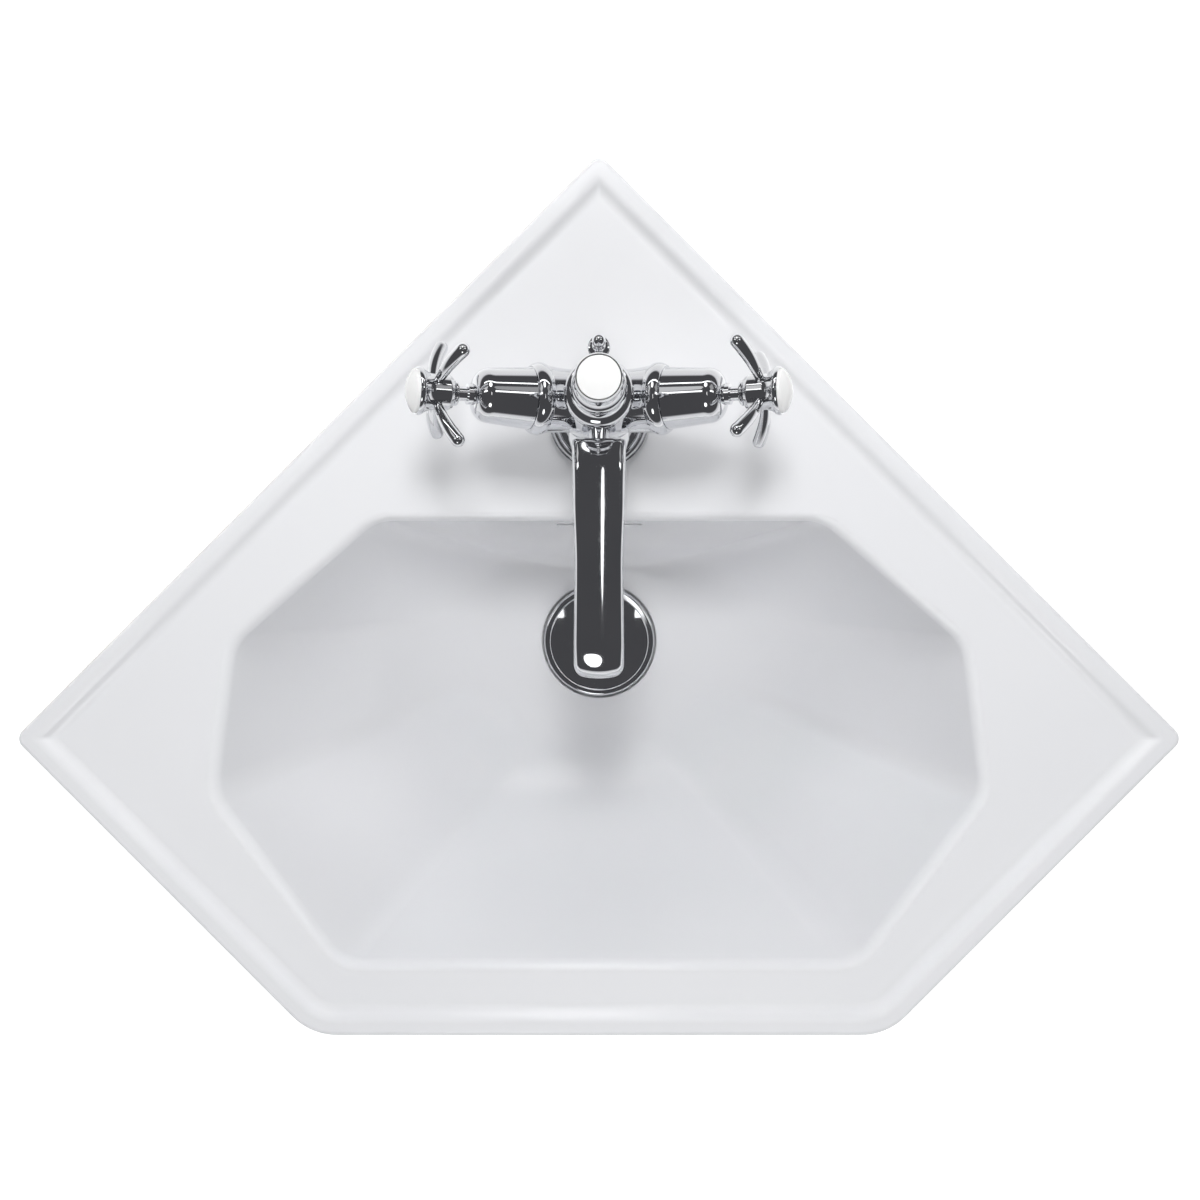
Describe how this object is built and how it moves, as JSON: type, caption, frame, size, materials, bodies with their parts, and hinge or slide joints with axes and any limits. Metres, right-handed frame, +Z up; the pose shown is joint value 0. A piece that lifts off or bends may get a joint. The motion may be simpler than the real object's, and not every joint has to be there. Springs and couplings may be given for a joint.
{
  "type": "corner basin",
  "caption": "White glazed corner basin with an eight-sided bowl, raised lip, cross-handle mixer with fixed spout, and a pop-up waste worked by a lift rod.",
  "frame": {"origin": "the corner where the two walls meet, at the height of the basin's rim", "axes": "+X to the right along the front edge, +Y into the wall corner, +Z up; the basin is entered from -Y"},
  "size_m": [0.5898, 0.4458, 0.3767],
  "materials": {
    "glazed_china": "glossy white glaze",
    "chrome_plate": "polished",
    "porcelain": "glossy white enamel",
    "raw_brass": "machined",
    "alumina": "lapped",
    "black_rubber": "matt",
    "white_nylon": "satin",
    "zinc_steel": "zinc plated"
  },
  "bodies": {
    "basin_and_fittings": {"basin": "glazed_china", "basin_left_wall_side": "glazed_china", "basin_right_wall_side": "glazed_china", "tap_body": "chrome_plate", "base_flange": "chrome_plate", "base_seal": "black_rubber", "top_cap": "chrome_plate", "top_index_disc": "porcelain", "spout": "chrome_plate", "aerator_housing": "chrome_plate", "flow_straightener": "white_nylon", "fixing_stud": "zinc_steel", "fixing_nut": "raw_brass", "clamp_rubber": "black_rubber", "clamp_plate": "zinc_steel", "hot_valve_seal": "black_rubber", "hot_fixed_disc": "alumina", "hot_valve_body": "chrome_plate", "hot_shroud": "chrome_plate", "cold_valve_seal": "black_rubber", "cold_fixed_disc": "alumina", "cold_valve_body": "chrome_plate", "cold_shroud": "chrome_plate", "waste_body": "chrome_plate", "waste_top_seal": "black_rubber", "waste_washer": "black_rubber", "waste_back_nut": "raw_brass", "waste_tee": "chrome_plate", "tee_seal": "black_rubber", "pivot_seat": "white_nylon", "pivot_packing": "white_nylon", "pivot_nut": "chrome_plate"},
    "hot_handle_set": {"hot_handle": "chrome_plate", "hot_spindle": "chrome_plate", "hot_moving_disc": "alumina", "hot_handle_screw": "zinc_steel", "hot_handle_bezel": "chrome_plate", "hot_index_disc": "porcelain"},
    "cold_handle_set": {"cold_handle": "chrome_plate", "cold_spindle": "chrome_plate", "cold_moving_disc": "alumina", "cold_handle_screw": "zinc_steel", "cold_handle_bezel": "chrome_plate", "cold_index_disc": "porcelain"},
    "lift_rod_set": {"lift_rod": "chrome_plate", "lift_knob": "chrome_plate", "clevis_strap": "zinc_steel", "clevis_screw": "zinc_steel"},
    "lever_set": {"lever_rod": "zinc_steel", "pivot_ball": "white_nylon", "lever_clips": "zinc_steel"},
    "plug_set": {"plug_cap": "chrome_plate", "plug_seal": "black_rubber", "plug_stem": "chrome_plate"}
  },
  "joints": [
    {"name": "hot_handle_turn", "type": "hinge", "parent": "basin_and_fittings", "child": "hot_handle_set", "pos_m": [0, -0.1358, 0.0506], "axis": [-0.9272, 0, 0.3746], "range_deg": [0, 90]},
    {"name": "cold_handle_turn", "type": "hinge", "parent": "basin_and_fittings", "child": "cold_handle_set", "pos_m": [0, -0.1358, 0.0506], "axis": [-0.9272, 0, -0.3746], "range_deg": [0, 90]},
    {"name": "lift_rod_slide", "type": "slide", "parent": "basin_and_fittings", "child": "lift_rod_set", "axis": [0, 0, 1], "range_m": [0, 0.022]},
    {"name": "lever_tilt", "type": "hinge", "parent": "basin_and_fittings", "child": "lever_set", "pos_m": [0, -0.22, -0.205], "axis": [1, 0, 0], "range_deg": [0, 12.71]},
    {"name": "plug_slide", "type": "slide", "parent": "basin_and_fittings", "child": "plug_set", "axis": [0, 0, 1], "range_m": [-0.00713, 0]}
  ],
  "couplings": [
    {"joint": "lever_tilt", "follows": "lift_rod_slide", "rad_per_m": 10.08},
    {"joint": "plug_slide", "follows": "lift_rod_slide", "ratio": -0.32389}
  ]
}
